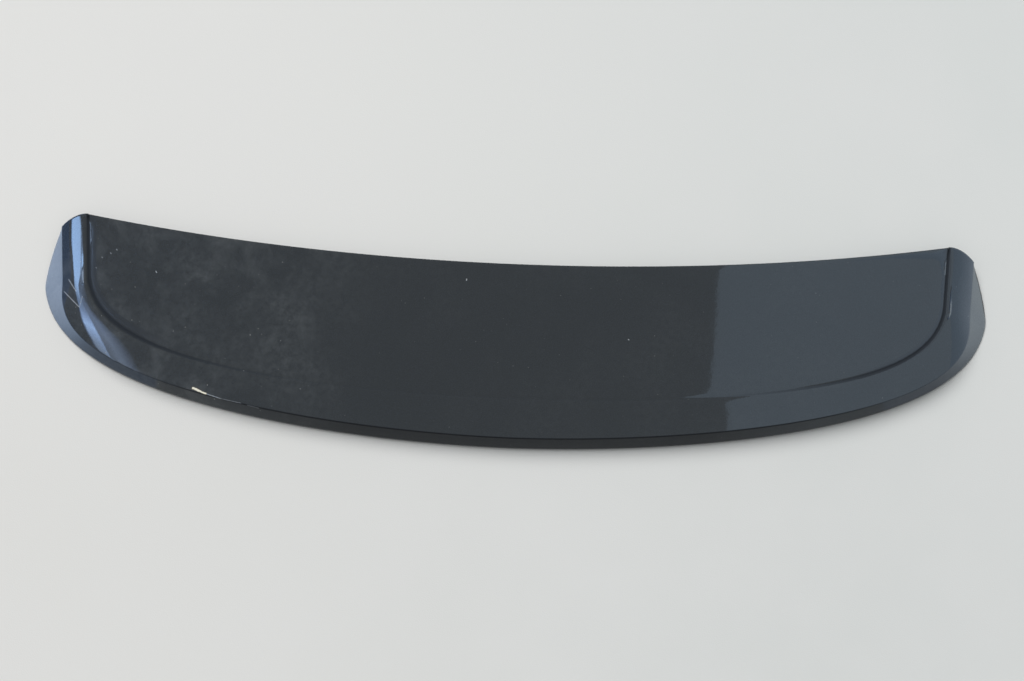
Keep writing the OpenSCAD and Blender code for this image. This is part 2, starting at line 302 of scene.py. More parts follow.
# node groups for effects that materials share

groupSettings = {
    "waveDetail": (2.0, 0.45),
    "broadDust": (9.0, 5.0, 0.6, 0.4),
    "broadRange": (0.38, 0.75),
    "fineDust": (130.0, 4.0, 0.65),
    "fineRange": (0.25, 0.75),
    "grainCells": 210.0,
    "grainSizes": (0.86, 1.0, 0.0, 0.16),
    "grainSoftness": 0.05,
    "strokeNoise": (420.0, 3.0),
    "strokeWidths": (0.3, 0.7, 0.45, 1.0),
    "strokeSoftness": 0.45,
}


def makeWaveGroup():
    group, start, end = newGroup(
        "surfaceWave", ["Place"], ["Scale", "Height"], {"Normal": "NodeSocketVector"})
    wave = noiseNode(group, start.outputs["Place"], start.outputs["Scale"], *groupSettings["waveDetail"])
    group.links.new(bumpNode(group, wave, start.outputs["Height"]), end.inputs["Normal"])
    return group


def makeDustGroup():
    g = groupSettings
    group, start, end = newGroup(
        "settledDust", ["Place"], ["Specks"], {"Film": "NodeSocketFloat", "Grains": "NodeSocketFloat"})
    place = start.outputs["Place"]
    film = timesNode(
        group, rangeNode(group, noiseNode(group, place, *g["broadDust"]), *g["broadRange"]),
        rangeNode(group, noiseNode(group, place, *g["fineDust"]), *g["fineRange"]))
    cells = addNode(group, "ShaderNodeTexVoronoi", {"Vector": place, "Scale": g["grainCells"]})
    size = addNode(group, "ShaderNodeSeparateColor", {"Color": cells.outputs["Color"]}).outputs[0]
    radius = timesNode(group, start.outputs["Specks"], rangeNode(group, size, *g["grainSizes"], smooth=False))
    inside = mathNode(group, "SUBTRACT", radius, cells.outputs["Distance"])
    group.links.new(film, end.inputs["Film"])
    group.links.new(rangeNode(group, inside, 0.0, g["grainSoftness"]), end.inputs["Grains"])
    return group


def makeStrokeGroup():
    g = groupSettings
    group, start, end = newGroup(
        "strokeMark", ["Place", "From", "To"], ["Width"], {"Mask": "NodeSocketFloat"})
    place = start.outputs["Place"]
    along = vectorNode(group, "SUBTRACT", start.outputs["To"], start.outputs["From"])
    away = vectorNode(group, "SUBTRACT", place, start.outputs["From"])
    share = mathNode(
        group, "DIVIDE", vectorNode(group, "DOT_PRODUCT", away, along),
        vectorNode(group, "DOT_PRODUCT", along, along), clamp=True)
    foot = addNode(group, "ShaderNodeVectorMath", {0: along, "Scale": share}, operation="SCALE").outputs[0]
    gap = vectorNode(group, "DISTANCE", away, foot)
    width = timesNode(group, start.outputs["Width"], rangeNode(
        group, noiseNode(group, place, *g["strokeNoise"]), *g["strokeWidths"], smooth=False))
    mask = mathNode(group, "SUBTRACT", 1.0, mathNode(group, "DIVIDE", gap, width), clamp=True)
    group.links.new(rangeNode(group, mask, 0.0, g["strokeSoftness"]), end.inputs["Mask"])
    return group


surfaceWave = makeWaveGroup()
settledDust = makeDustGroup()
strokeMark = makeStrokeGroup()
print("node groups made")


# paint: dark anthracite with fine flake under a clear coat, the marks of use, painted shade in and beside the
# crease, a painted dark reflection on the tail's sharp edge, and a bare plastic underside

paintSettings = {
    "base": (0.0062, 0.0072, 0.0084, 1.0),
    "flake": (0.0125, 0.0155, 0.0190, 1.0),
    "flakeScale": 2600.0,
    "flakeRange": (0.55, 1.0),
    "baseRough": 0.42,
    "metallic": 0.20,
    "specular": 0.06,
    "coatRough": 0.03,
    "coatIor": 1.5,
    "grain": {"Scale": 900.0, "Height": 0.00003},
    "peelNoise": (190.0, 2.0, 0.45),
    "peelHeight": 0.000007,
    "mirrorSlope": 1.45,
    "flareFrom": 0.1,
    # painted shade in the crease groove, with some dirt
    "creaseShadeAndDirt": (0.023, 0.027, 0.033, 1.0),
    "creaseEnds": (0.22, 0.50),
    "creaseWidths": (0.00091, 0.0026),
    "creaseStrengths": (0.10, 0.96),
    "creaseSoftness": (0.55, 1.15),
    "creaseRagged": 0.0012,
    "creaseNoise": (240.0, 3.0),
    # painted shade beside the crease: dark on the left bank, a lighter bluish painted sheen on the right
    "bankShadeLeft": (0.034, 0.037, 0.040, 1.0),
    "bankSheenRight": (0.052, 0.060, 0.070, 1.0),
    "bankShadeTurn": (-0.3, 0.3),
    "bankShadeEnds": (0.40, 0.50),
    "bankShadeInner": (-0.0112, -0.0062),
    "bankShadeSolid": 0.68,
    "bankShadeOuter": (0.0026, 0.0048),
    # painted dark reflection along the tail's sharp edge
    "edgeLine": (0.0060, 0.0065, 0.0080, 1.0),
    "edgeWidths": (0.00042, 0.0012),
    "edgeFade": (0.38, 0.50, 0.95, 0.15),
    "dust": (0.23, 0.24, 0.24, 1.0),
    "dustGrain": (0.45, 0.45, 0.43, 1.0),
    "dustSpecks": 0.9,
    "dustLeft": (-0.16, -0.34),
    "filmShares": (0.03, 0.16),
    "smearShares": (0.0, 0.11),
    "grainShares": (0.18, 0.73),
    "smearStretch": (26.0, 20.0, 20.0),
    "smearTurn": 0.4,
    "smearNoise": (1.0, 7.0, 0.68, 0.35),
    "smearRange": (0.44, 0.72),
    "primer": (0.78, 0.76, 0.66, 1.0),
    "primerRim": (0.42, 0.27, 0.05, 1.0),
    "primerRange": (0.45, 0.8),
    "scratch": (0.30, 0.32, 0.34, 1.0),
    "plastic": (0.012, 0.012, 0.013, 1.0),
    "plasticRough": 0.55,
    "soiledAndShadedRough": 0.9,
    "mistRange": (0.002, 0.035),
    "mistRagged": 0.018,
    "mistNoise": (26.0, 4.0, 0.6),
    "coatLoss": {"soiledAndShaded": 0.97, "scratch": 0.7, "haze": 0.6, "edge": 0.8, "bankShade": 0.92},
    "bankShadeCover": 0.9,
}

# marks as strokes in plan: from, to, half width, strength
strokeSettings = {
    "chip": [
        ((-0.3985, -0.0822), (-0.3905, -0.0857), 0.0024, 1.0),
        ((-0.3925, -0.0850), (-0.3822, -0.0888), 0.0019, 1.0),
    ],
    "scratch": [
        ((-0.3822, -0.0888), (-0.3640, -0.0943), 0.0009, 0.75),
        ((-0.3640, -0.0943), (-0.3385, -0.0992), 0.0007, 0.45),
        ((-0.3300, -0.1015), (-0.3160, -0.1045), 0.0007, 0.30),
        ((-0.5700, 0.0357), (-0.5490, 0.0160), 0.0010, 0.75),
        ((-0.5655, 0.0510), (-0.5545, 0.0360), 0.0011, 0.65),
        ((-0.5455, 0.0290), (-0.5480, 0.0150), 0.0008, 0.60),
    ],
    "speck": [
        ((-0.0670, 0.0710), (-0.0672, 0.0694), 0.0012, 1.0),
        ((0.1385, 0.0002), (0.1393, -0.0004), 0.0012, 0.9),
        ((-0.4575, 0.0655), (-0.4565, 0.0640), 0.0011, 0.9),
        ((-0.5095, 0.0925), (-0.5085, 0.0915), 0.0009, 0.7),
        ((-0.5165, 0.0875), (-0.5155, 0.0865), 0.0009, 0.6),
        ((-0.5265, 0.0815), (-0.5255, 0.0805), 0.0009, 0.6),
        ((-0.5325, 0.0675), (-0.5315, 0.0665), 0.0009, 0.5),
    ],
}


def strokeMask(tree, place, kind):
    flatPlace = vectorNode(tree, "MULTIPLY", place, (1.0, 1.0, 0.0))
    masks = []
    for first, last, width, strength in strokeSettings[kind]:
        mark = useGroup(tree, strokeMark, {
            "Place": flatPlace, "From": (*first, 0.0), "To": (*last, 0.0), "Width": width})
        masks.append(timesNode(tree, mark.outputs["Mask"], strength))
    return mostNode(tree, *masks)


# painted shade in the crease groove, with some dirt: a dark line, broad and dark at the ends, thin in the
# middle of the tail
def creaseMask(tree, place, outward, signedGap):
    s = paintSettings
    width = rangeNode(tree, outward, *s["creaseEnds"], *s["creaseWidths"])
    ragged = raggedNode(tree, s["creaseRagged"], place, *s["creaseNoise"])
    gap = mathNode(tree, "ADD", mathNode(tree, "ABSOLUTE", signedGap), ragged)
    line = rangeNode(tree, mathNode(tree, "DIVIDE", gap, width), *s["creaseSoftness"], 1.0, 0.0)
    return timesNode(tree, line, rangeNode(tree, outward, *s["creaseEnds"], *s["creaseStrengths"]))


# painted shade along both banks of the crease at the ends, the inner one more widely on the left: dark on the
# left, a lighter bluish painted sheen on the right, with less coat
def creaseBankShadeMask(tree, across, outward, signedGap):
    s = paintSettings
    innerReach = rangeNode(tree, across, *s["bankShadeTurn"], *s["bankShadeInner"])
    inner = rangeNode(tree, signedGap, innerReach, timesNode(tree, innerReach, s["bankShadeSolid"]))
    outer = rangeNode(tree, signedGap, *s["bankShadeOuter"], 1.0, 0.0)
    return timesNode(tree, rangeNode(tree, outward, *s["bankShadeEnds"]), inner, outer)


# dust and dried haze, most of it on the left third
def dustMasks(tree, place, across):
    s = paintSettings
    dust = useGroup(tree, settledDust, {"Place": place, "Specks": s["dustSpecks"]})
    smearPlace = stretchNode(tree, place, s["smearStretch"], s["smearTurn"])
    smear = rangeNode(tree, noiseNode(tree, smearPlace, *s["smearNoise"]), *s["smearRange"])
    masks = {"filmShares": dust.outputs["Film"], "smearShares": smear, "grainShares": dust.outputs["Grains"]}
    film, smear, grains = [
        timesNode(tree, mask, rangeNode(tree, across, *s["dustLeft"], *s[name]))
        for name, mask in masks.items()]
    return mathNode(tree, "ADD", film, smear), grains


# the coat has orange peel, and mirrors no steeper than mirrorSlope on the flared faces
def coatNormal(tree, place):
    s = paintSettings
    peel = bumpNode(tree, noiseNode(tree, place, *s["peelNoise"]), s["peelHeight"])
    facing = addNode(tree, "ShaderNodeSeparateXYZ", {"Vector": peel})
    level = vectorNode(tree, "LENGTH", vectorNode(tree, "MULTIPLY", peel, (1.0, 1.0, 0.0)))
    flared = mathNode(tree, "GREATER_THAN", facing.outputs["Z"], s["flareFrom"])
    lifted = mostNode(tree, facing.outputs["Z"], timesNode(tree, level, s["mirrorSlope"], flared))
    leaned = addNode(tree, "ShaderNodeCombineXYZ", {
        "X": facing.outputs["X"], "Y": facing.outputs["Y"], "Z": lifted})
    return vectorNode(tree, "NORMALIZE", leaned.outputs[0])


def makePaint():
    s = paintSettings
    loss = s["coatLoss"]
    material, tree = newMaterial("bodyPaint")
    place = objectPlace(tree)
    across = addNode(tree, "ShaderNodeSeparateXYZ", {"Vector": place}).outputs["X"]
    outward = mathNode(tree, "ABSOLUTE", across)
    signedGap = attributeNode(tree, "creaseGap")

    inCrease = creaseMask(tree, place, outward, signedGap)
    bankShaded = creaseBankShadeMask(tree, across, outward, signedGap)
    haze, grains = dustMasks(tree, place, across)
    chip = strokeMask(tree, place, "chip")
    scratch = mostNode(tree, strokeMask(tree, place, "scratch"), strokeMask(tree, place, "speck"))
    # painted dark reflection: a thin dark line where the paint turns over the sharp edge of the tail
    onEdge = timesNode(
        tree, rangeNode(tree, attributeNode(tree, "edgeGap"), *s["edgeWidths"], 1.0, 0.0),
        rangeNode(tree, outward, *s["edgeFade"]))
    # paint mist reaches in from the edge of the bare underside
    mistDepth = mathNode(tree, "ADD", attributeNode(tree, "underDepth"), raggedNode(
        tree, s["mistRagged"], place, *s["mistNoise"]))
    bare = rangeNode(tree, mistDepth, *s["mistRange"])

    cells = addNode(tree, "ShaderNodeTexVoronoi", {"Vector": place, "Scale": s["flakeScale"]})
    tint = addNode(tree, "ShaderNodeSeparateColor", {"Color": cells.outputs["Color"]}).outputs[0]
    colour = mixColour(tree, rangeNode(tree, tint, *s["flakeRange"]), s["base"], s["flake"])
    bankShade = mixColour(tree, rangeNode(tree, across, *s["bankShadeTurn"]), s["bankShadeLeft"], s["bankSheenRight"])
    primer = mixColour(tree, rangeNode(tree, chip, *s["primerRange"]), s["primerRim"], s["primer"])
    layers = (
        (haze, s["dust"]), (grains, s["dustGrain"]), (timesNode(tree, bankShaded, s["bankShadeCover"]), bankShade),
        (inCrease, s["creaseShadeAndDirt"]), (onEdge, s["edgeLine"]), (scratch, s["scratch"]), (chip, primer),
        (bare, s["plastic"]))
    for mask, layer in layers:
        colour = mixColour(tree, mask, colour, layer)

    painted = withoutNode(tree, bare)
    # coat is lost and roughness raised at real dirt, chip, dust grains and scratches, and where shade is
    # painted in the crease
    soiledAndShaded = mostNode(tree, inCrease, chip, grains, timesNode(tree, scratch, loss["scratch"]))
    # coat is lost where a dark reflection is painted on the sharp edge and where shade is painted beside the
    # crease
    paintedShadeBands = mostNode(tree, timesNode(tree, onEdge, loss["edge"]), timesNode(tree, bankShaded, loss["bankShade"]))
    coat = timesNode(
        tree, withoutNode(tree, soiledAndShaded, loss["soiledAndShaded"]), painted, withoutNode(tree, haze, loss["haze"]),
        withoutNode(tree, paintedShadeBands))
    metal = timesNode(tree, withoutNode(tree, soiledAndShaded), painted, s["metallic"])
    rough = mixValue(tree, soiledAndShaded, mixValue(tree, bare, s["baseRough"], s["plasticRough"]), s["soiledAndShadedRough"])

    shader = addNode(tree, "ShaderNodeBsdfPrincipled", {
        "Base Color": colour,
        "Metallic": metal,
        "Roughness": rough,
        "Specular IOR Level": s["specular"],
        "Coat Weight": coat,
        "Coat Roughness": s["coatRough"],
        "Coat IOR": s["coatIor"],
        "Normal": useGroup(tree, surfaceWave, {"Place": place, **s["grain"]}).outputs["Normal"],
        "Coat Normal": coatNormal(tree, place),
    })
    addNode(tree, "ShaderNodeOutputMaterial", {"Surface": shader.outputs[0]})
    return material


bodyPaint = makePaint()
print("paint made")


# body shell: the moulding's own mesh, joined to quads and rounded

shellSettings = {
    "mergeWithin": 0.00001,
    "flatAngle": 25.0,
    "quadAngle": 180.0,
    "sharpAngle": 32.0,
    "creaseWeight": 0.9,
    "underside": -0.2,
    "levels": 1,
}


def addGaps(mesh):
    count = curveSettings["curveSteps"]
    creaseLine = bothSides([creasePoint(i / count) for i in range(2 * count + 1)])
    edgeLine = bothSides([edgePoint(i / count) for i in range(2 * count + 1)])
    outline = bothSides(outlinePoints())
    creaseGap, edgeGap, underDepth = [
        mesh.attributes.new(name, "FLOAT", "POINT") for name in ("creaseGap", "edgeGap", "underDepth")]
    for vertex in mesh.vertices:
        i, spot = vertex.index, vertex.co
        edgeGap.data[i].value = gapTo(spot, edgeLine, flat=False)
        if vertex.normal.z < shellSettings["underside"]:
            creaseGap.data[i].value = gapSettings["farthest"]
            underDepth.data[i].value = gapTo(spot, outline)
        else:
            creaseGap.data[i].value = gapTo(spot, creaseLine, signed=True)


def makeShell():
    s = shellSettings
    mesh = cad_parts["spoiler_body"].data.copy()
    mesh.name = "bodyShell"
    shell = bpy.data.objects.new("bodyShell", mesh)
    bpy.context.scene.collection.objects.link(shell)
    work = bmesh.new()
    work.from_mesh(mesh)
    bmesh.ops.remove_doubles(work, verts=work.verts, dist=s["mergeWithin"])
    bmesh.ops.join_triangles(
        work, faces=work.faces, cmp_seam=False, cmp_sharp=False, cmp_uvs=False, cmp_vcols=False,
        cmp_materials=False, angle_face_threshold=math.radians(s["flatAngle"]),
        angle_shape_threshold=math.radians(s["quadAngle"]), topology_influence=1.0)
    crease = work.edges.layers.float.get("crease_edge") or work.edges.layers.float.new("crease_edge")
    for edge in work.edges:
        if edge.calc_face_angle(0.0) > math.radians(s["sharpAngle"]):
            edge[crease] = s["creaseWeight"]
    for face in work.faces:
        face.smooth = True
    print("shell faces:", len(work.faces), "quads:", sum(len(f.verts) == 4 for f in work.faces))
    work.to_mesh(mesh)
    work.free()
    addGaps(mesh)
    mesh.materials.clear()
    mesh.materials.append(bodyPaint)
    rounding = shell.modifiers.new("rounding", "SUBSURF")
    rounding.levels = rounding.render_levels = s["levels"]
    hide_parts("spoiler_body")
    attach(shell, "root")


makeShell()
print("shell made")


# brass inserts: turned body with knurled bands and a real M6 thread in the bore

insertSettings = {
    "outer": 0.0045,
    "waist": 0.0038,
    "length": 0.010,
    "boreDepth": 0.0085,
    "crest": 0.0025,
    "root": 0.0030,
    "pitch": 0.0010,
    "crestPart": (0.45, 0.55),
    "sparePitches": 3,
    "leadIn": 1.5,
    "chamfer": 0.0006,
    "corner": 0.0005,
    "drillPoint": 0.0009,
    "knurlInset": 0.00010,
    "knurlDepth": 0.00016,
    "steps": 48,
    "sharpAngle": 35.0,
    "mergeWithin": 0.000002,
    "tolerance": 0.00001,
    "cutTolerance": 0.0000001,
}
brassSettings = {
    "colour": (0.60, 0.43, 0.17, 1.0),
    "tarnish": (0.22, 0.15, 0.07, 1.0),
    "stainNoise": (320.0, 5.0, 0.65),
    "stainRange": (0.42, 0.72),
    "dust": (0.20, 0.19, 0.17, 1.0),
    "dustSpecks": 0.6,
    "dustShare": 0.3,
    "roughness": (0.32, 0.6),
    "wave": {"Scale": 1500.0, "Height": 0.00001},
}


def makeBrass():
    s = brassSettings
    material, tree = newMaterial("insertBrass")
    place = objectPlace(tree)
    stain = rangeNode(tree, noiseNode(tree, place, *s["stainNoise"]), *s["stainRange"])
    dust = useGroup(tree, settledDust, {"Place": place, "Specks": s["dustSpecks"]})
    colour = mixColour(tree, stain, s["colour"], s["tarnish"])
    colour = mixColour(tree, timesNode(tree, dust.outputs["Film"], s["dustShare"]), colour, s["dust"])
    shader = addNode(tree, "ShaderNodeBsdfPrincipled", {
        "Base Color": colour,
        "Metallic": 1.0,
        "Roughness": rangeNode(tree, stain, 0.0, 1.0, *s["roughness"]),
        "Normal": useGroup(tree, surfaceWave, {"Place": place, **s["wave"]}).outputs["Normal"],
    })
    addNode(tree, "ShaderNodeOutputMaterial", {"Surface": shader.outputs[0]})
    return material


def islandOf(seed, left):
    island, rim = [seed], [seed]
    while rim:
        vertex = rim.pop()
        for edge in vertex.link_edges:
            other = edge.other_vert(vertex)
            if other in left:
                left.remove(other)
                island.append(other)
                rim.append(other)
    return island


def insertPlaces():
    work = bmesh.new()
    work.from_mesh(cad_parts["threaded_inserts"].data)
    bmesh.ops.remove_doubles(work, verts=work.verts, dist=insertSettings["tolerance"])
    left = set(work.verts)
    places = []
    while left:
        xs, ys, zs = zip(*(v.co for v in islandOf(left.pop(), left)))
        places.append(Vector(((min(xs) + max(xs)) / 2.0, (min(ys) + max(ys)) / 2.0, min(zs))))
    work.free()
    return sorted(places, key=lambda spot: spot.x)


def spinOutline(work, outline, turns, rise):
    count = insertSettings["steps"]
    verts = [work.verts.new((radius, 0.0, z)) for radius, z in outline]
    edges = [work.edges.new(pair) for pair in zip(verts[:-1], verts[1:])]
    bmesh.ops.spin(
        work, geom=verts + edges, cent=(0.0, 0.0, 0.0), axis=(0.0, 0.0, 1.0), dvec=(0.0, 0.0, rise / count),
        angle=2.0 * math.pi * turns, steps=count * turns, use_merge=rise == 0.0)
    bmesh.ops.remove_doubles(work, verts=work.verts, dist=insertSettings["mergeWithin"])


def openEdges(work, z):
    near = insertSettings["tolerance"]
    return [e for e in work.edges if e.is_boundary and all(abs(v.co.z - z) < near for v in e.verts)]


# the thread: one pitch of its outline, wound up the bore, cut off at the chamfer and at the drill point
def buildThread(work):
    s = insertSettings
    pitch = s["pitch"]
    crestFrom, crestTo = (share * pitch for share in s["crestPart"])
    spinOutline(
        work, [(s["root"], 0.0), (s["crest"], crestFrom), (s["crest"], crestTo), (s["root"], pitch)],
        int(s["boreDepth"] / pitch) + s["sparePitches"], pitch)
    bmesh.ops.translate(work, verts=work.verts, vec=(0.0, 0.0, -s["leadIn"] * pitch))
    for height, side in ((s["chamfer"], -1.0), (s["boreDepth"], 1.0)):
        bmesh.ops.bisect_plane(
            work, geom=work.verts[:] + work.edges[:] + work.faces[:], dist=s["cutTolerance"],
            plane_co=(0.0, 0.0, height), plane_no=(0.0, 0.0, side), clear_outer=True)
    boreEnd = bmesh.ops.holes_fill(work, edges=openEdges(work, s["boreDepth"]))["faces"]
    bmesh.ops.poke(work, faces=boreEnd, offset=s["drillPoint"])


# the turned body, with knurled bands and a chamfer that meets the thread
def buildTurning(work):
    s = insertSettings
    outer, corner, length = s["outer"], s["corner"], s["length"]
    third = length / 3.0
    spinOutline(work, [
        (s["root"] + s["chamfer"], 0.0), (outer - corner, 0.0), (outer, corner), (outer, third),
        (s["waist"], third + corner), (s["waist"], 2.0 * third - corner), (outer, 2.0 * third),
        (outer, length - corner), (outer - corner, length), (0.0, length)], 1, 0.0)
    bands = [f for f in work.faces if all(v.co.xy.length > outer - s["tolerance"] for v in f.verts)]
    bmesh.ops.inset_individual(
        work, faces=bands, thickness=s["knurlInset"], depth=s["knurlDepth"], use_even_offset=True)
    bmesh.ops.bridge_loops(work, edges=openEdges(work, 0.0) + openEdges(work, s["chamfer"]))


def moveTo(work, geometry, place):
    verts = [part for part in geometry if isinstance(part, bmesh.types.BMVert)]
    bmesh.ops.translate(work, verts=verts, vec=place)


def makeInserts():
    work = bmesh.new()
    buildThread(work)
    buildTurning(work)
    bmesh.ops.recalc_face_normals(work, faces=work.faces)
    for face in work.faces:
        face.smooth = True
    for edge in work.edges:
        if edge.calc_face_angle(0.0) > math.radians(insertSettings["sharpAngle"]):
            edge.smooth = False
    print("insert open edges:", sum(e.is_boundary for e in work.edges))
    first = work.verts[:] + work.edges[:] + work.faces[:]
    firstPlace, *otherPlaces = insertPlaces()
    for place in otherPlaces:
        moveTo(work, bmesh.ops.duplicate(work, geom=first)["geom"], place)
    moveTo(work, first, firstPlace)
    mesh = bpy.data.meshes.new("threadedBrass")
    work.to_mesh(mesh)
    work.free()
    inserts = bpy.data.objects.new("threadedBrass", mesh)
    bpy.context.scene.collection.objects.link(inserts)
    mesh.materials.append(makeBrass())
    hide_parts("threaded_inserts")
    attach(inserts, "root")


makeInserts()
print("inserts made")


# floor: white cloth laid flat, with painted light fall-off: lighter on the left, towards the key, and greyer
# on the right and towards the tail

floorSettings = {
    "size": 80.0,
    "plain": (0.775, 0.775, 0.772, 1.0),
    "left": (0.800, 0.797, 0.780, 1.0),
    "right": (0.690, 0.712, 0.705, 1.0),
    "sideRange": (-0.75, 0.70),
    "nearRange": (-0.30, 0.35, 0.955, 1.02),
    "plainRange": (0.9, 2.2),
    "toneNoise": (2.2, 4.0, 0.6),
    "toneRange": (0.3, 0.7, 0.0, 0.35),
    "fibre": (0.60, 0.60, 0.60, 1.0),
    "fibreStretch": (1.0, 1.6, 1.0),
    "fibreNoise": (700.0, 3.0, 0.6),
    "fibreRange": (0.35, 0.65, 0.0, 0.05),
    "weave": {"Scale": 700.0, "Height": 0.00012},
    "roughness": 0.95,
    "specular": 0.1,
}


def addFloor():
    s = floorSettings
    bpy.ops.mesh.primitive_plane_add(size=s["size"])
    floor = bpy.context.object
    floor.name = "floor"
    material, tree = newMaterial("whiteCloth")
    place = objectPlace(tree)
    spot = addNode(tree, "ShaderNodeSeparateXYZ", {"Vector": place})
    # painted light: the cloth's colour runs from lighter on the left to greyer on the right
    colour = mixColour(tree, rangeNode(tree, spot.outputs["X"], *s["sideRange"]), s["left"], s["right"])
    # painted shade: darker towards the tail
    near = rangeNode(tree, spot.outputs["Y"], *s["nearRange"])
    shade = addNode(tree, "ShaderNodeCombineColor", {"Red": near, "Green": near, "Blue": near}).outputs[0]
    colour = mixColour(tree, 1.0, colour, shade, "MULTIPLY")
    away = vectorNode(tree, "LENGTH", place)
    colour = mixColour(tree, rangeNode(tree, away, *s["plainRange"]), colour, s["plain"])
    tone = noiseNode(tree, place, *s["toneNoise"])
    colour = mixColour(tree, rangeNode(tree, tone, *s["toneRange"]), colour, s["plain"])
    fibre = noiseNode(tree, stretchNode(tree, place, s["fibreStretch"]), *s["fibreNoise"])
    colour = mixColour(tree, rangeNode(tree, fibre, *s["fibreRange"]), colour, s["fibre"])
    shader = addNode(tree, "ShaderNodeBsdfPrincipled", {
        "Base Color": colour,
        "Roughness": s["roughness"],
        "Specular IOR Level": s["specular"],
        "Normal": useGroup(tree, surfaceWave, {"Place": place, **s["weave"]}).outputs["Normal"],
    })
    addNode(tree, "ShaderNodeOutputMaterial", {"Surface": shader.outputs[0]})
    floor.data.materials.append(material)


# light: an even studio, a soft key from beyond the leading edge, and cards that only gloss sees

lightSettings = {
    "worldDiffuse": (0.35, 0.355, 0.355),
    "worldGloss": (0.68, 0.76, 0.82),
    "worldSeen": (0.72, 0.725, 0.725),
    "key": {"place": (-2.6, 4.2, 5.6), "spread": 40.0, "strength": 2.45, "colour": (1.0, 1.0, 0.995)},
    "cardDistance": 3.0,
    "cardFoot": 0.015,
}


def background(tree, name):
    values = {"Color": (*lightSettings[name], 1.0), "Strength": 1.0}
    return addNode(tree, "ShaderNodeBackground", values).outputs[0]


def addWorld():
    world = bpy.data.worlds.new("studio")
    bpy.context.scene.world = world
    world.use_nodes = True
    tree = world.node_tree
    tree.nodes.clear()
    path = addNode(tree, "ShaderNodeLightPath")
    light = background(tree, "worldDiffuse")
    for ray, name in (("Is Glossy Ray", "worldGloss"), ("Is Camera Ray", "worldSeen")):
        light = addNode(tree, "ShaderNodeMixShader", {
            0: path.outputs[ray], 1: light, 2: background(tree, name)}).outputs[0]
    addNode(tree, "ShaderNodeOutputWorld", {"Surface": light})


def addKey():
    s = lightSettings["key"]
    data = bpy.data.lights.new("key", "SUN")
    data.angle = math.radians(s["spread"])
    data.energy = s["strength"]
    data.color = s["colour"]
    lamp = bpy.data.objects.new("key", data)
    bpy.context.scene.collection.objects.link(lamp)
    lamp.location = s["place"]
    lamp.rotation_euler = (-Vector(s["place"])).to_track_quat("-Z", "Y").to_euler()
    lamp.visible_glossy = False


# a card's columns: an azimuth, clockwise from beyond the leading edge, and (elevation, radiance) from foot up

columnSettings = {
    "windowFringe": (0.46, 0.70, 1.25),
    "windowGain": 1.1,
    "windowSteps": {"below": 1.2, "above": 0.7, "haze": 3.5, "sky": 9.0},
    "westRows": ((-1.0, (3.4, 4.2, 5.6)), (22.0, (2.8, 3.8, 5.4))),
    "westTop": (2.7, 3.6, 5.0),
    "westShade": (0.46, 0.70, 1.2),
    "westShadeTop": 46.0,
    "westLeast": 0.40,
    "eastRows": ((-1.0, (2.0, 2.3, 2.5)), (24.0, (2.2, 2.6, 3.1)), (36.0, (1.8, 2.2, 2.7)),
                 (50.0, (1.1, 1.45, 1.85)), (64.0, (0.85, 1.1, 1.4))),
    "eastLeast": 0.42,
    "southRows": ((-1.0, (0.40, 0.42, 0.44)), (40.0, (0.48, 0.52, 0.55)), (62.0, (0.66, 0.74, 0.80))),
    "southAzimuths": (142.0, 212.0),
    "southFade": 14.0,
    "southSteps": 5,
}


def windowColumn(azimuth, low, high, glow, above):
    step = columnSettings["windowSteps"]
    brighter = tuple(columnSettings["windowGain"] * value for value in above)
    return azimuth, [
        (low - step["below"], columnSettings["windowFringe"]), (low, glow), (high, glow),
        (high + step["above"], above), (high + step["haze"], brighter),
        (high + step["sky"], lightSettings["worldGloss"])]


def dimmed(rows, share, least):
    return [(height, tuple(max(value * share, least) for value in glow)) for height, glow in rows]


def westColumn(azimuth, top, share=1.0):
    c = columnSettings
    rows = dimmed((*c["westRows"], (top, c["westTop"])), share, c["westLeast"])
    return azimuth, rows + [(top + 1.0, c["westShade"]), (c["westShadeTop"], c["westShade"])]


def eastColumn(azimuth, share=1.0):
    return azimuth, dimmed(columnSettings["eastRows"], share, columnSettings["eastLeast"])


def southColumns():
    c = columnSettings
    first, last = c["southAzimuths"]
    faded = [(height, lightSettings["worldGloss"]) for height, glow in c["southRows"]]
    left, right = first + c["southFade"], last - c["southFade"]
    inner = [(between(left, right, share), c["southRows"]) for share in [0.0] + steps(c["southSteps"])]
    return [(first, faded)] + inner + [(last, faded)]


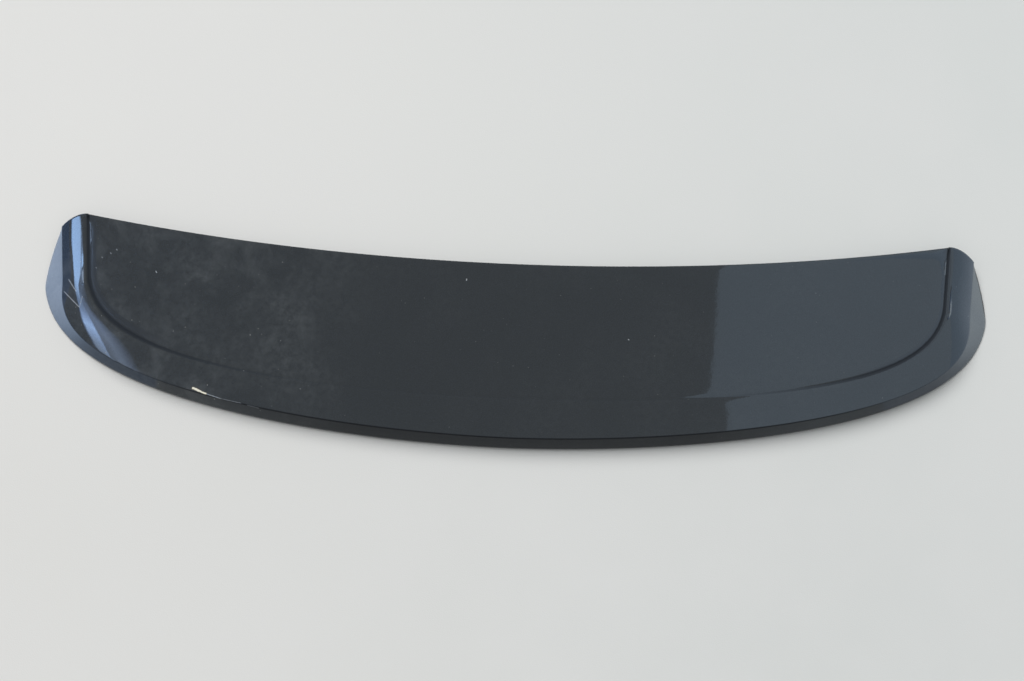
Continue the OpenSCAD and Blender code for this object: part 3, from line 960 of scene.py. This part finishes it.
cardSettings = {
    "window": ((-0.53, 0.05), [
        windowColumn(-45.5, 50.0, 56.0, (0.8, 0.9, 1.1), (0.8, 0.9, 1.0)),
        windowColumn(-48.5, 50.0, 56.0, (5.8, 9.1, 14.8), (1.5, 2.0, 2.9)),
        windowColumn(-62.0, 49.6, 55.6, (6.3, 10.0, 16.4), (1.5, 2.0, 2.9)),
        windowColumn(-65.0, 51.5, 58.0, (4.6, 7.0, 11.2), (2.0, 2.8, 4.4)),
        windowColumn(-68.0, 56.5, 61.5, (2.6, 3.8, 6.0), (1.8, 2.4, 3.8)),
        windowColumn(-72.0, 59.5, 64.5, (3.0, 4.3, 7.0), (2.1, 2.9, 4.4)),
        windowColumn(-77.0, 61.5, 66.0, (4.8, 6.9, 11.4), (2.4, 3.1, 4.6)),
        windowColumn(-81.0, 62.3, 67.0, (6.4, 9.4, 15.2), (2.4, 3.1, 4.4)),
        windowColumn(-85.0, 63.8, 68.0, (4.8, 6.8, 10.8), (2.0, 2.5, 3.4)),
        windowColumn(-88.5, 65.8, 69.2, (3.4, 4.5, 6.4), (1.3, 1.6, 2.0)),
        windowColumn(-93.0, 67.0, 70.5, (1.0, 1.15, 1.4), (0.8, 0.9, 1.0)),
    ]),
    "westLow": ((-0.55, 0.0), [
        westColumn(-146.0, 34.0, 0.20), westColumn(-134.0, 34.0, 0.26), westColumn(-125.0, 33.0, 0.34),
        westColumn(-119.0, 31.0, 0.50), westColumn(-112.0, 28.0, 0.78), westColumn(-104.0, 24.0, 0.96),
        *(westColumn(azimuth, 22.0) for azimuth in (-96.0, -77.0, -58.0, -39.0, -20.0)),
    ]),
    "east": ((0.55, 0.0), [
        *(eastColumn(azimuth) for azimuth in (20.0, 38.0, 56.0, 74.0, 92.0)),
        eastColumn(102.0, 0.85), eastColumn(112.0, 0.60), eastColumn(126.0, 0.42), eastColumn(141.0, 0.36),
    ]),
    "southDim": ((0.0, -0.1), southColumns()),
}
ceilingSettings = {
    "westNorth": 0.862,
    "westSouth": 0.612,
    "east": 3.2,
    "north": 4.5,
    "south": -0.5,
    "height": 2.5,
    "glow": (1.16, 1.42, 1.68),
}


def cardPoint(spot, azimuth, elevation):
    s = lightSettings
    turn, rise = math.radians(azimuth), math.radians(elevation)
    run = s["cardDistance"] * math.cos(rise)
    height = max(s["cardFoot"], s["cardDistance"] * math.sin(rise))
    return spot[0] + run * math.sin(turn), spot[1] + run * math.cos(turn), height


# a grid whose corners are moved to their places in the room
def addCard(name, material, columns):
    work = bmesh.new()
    bmesh.ops.create_grid(work, x_segments=len(columns) - 1, y_segments=len(columns[0]) - 1, size=1.0)
    glowLayer = work.verts.layers.float_color.new("glow")
    order = sorted(work.verts, key=lambda v: (round(v.co.x, 5), round(v.co.y, 5)))
    for vert, (place, glow) in zip(order, [corner for column in columns for corner in column]):
        vert.co = place
        vert[glowLayer] = (*glow, 1.0)
    mesh = bpy.data.meshes.new(name)
    work.to_mesh(mesh)
    work.free()
    mesh.materials.append(material)
    card = bpy.data.objects.new(name, mesh)
    bpy.context.scene.collection.objects.link(card)
    card.visible_camera = card.visible_diffuse = card.visible_shadow = card.visible_transmission = False


def addCards():
    material, tree = newMaterial("cardGlow")
    colour = addNode(tree, "ShaderNodeAttribute", attribute_name="glow").outputs["Color"]
    light = addNode(tree, "ShaderNodeEmission", {"Color": colour, "Strength": 1.0})
    addNode(tree, "ShaderNodeOutputMaterial", {"Surface": light.outputs[0]})
    for name, (spot, columns) in cardSettings.items():
        addCard(name, material, [
            [(cardPoint(spot, azimuth, elevation), glow) for elevation, glow in rows]
            for azimuth, rows in columns])
    c = ceilingSettings
    addCard("ceilingRight", material, [
        [((northX, c["north"], c["height"]), c["glow"]), ((southX, c["south"], c["height"]), c["glow"])]
        for northX, southX in ((c["westNorth"], c["westSouth"]), (c["east"], c["east"]))])


addFloor()
addWorld()
addKey()
addCards()
bpy.context.scene.view_settings.view_transform = "Standard"
print("stage and light set")
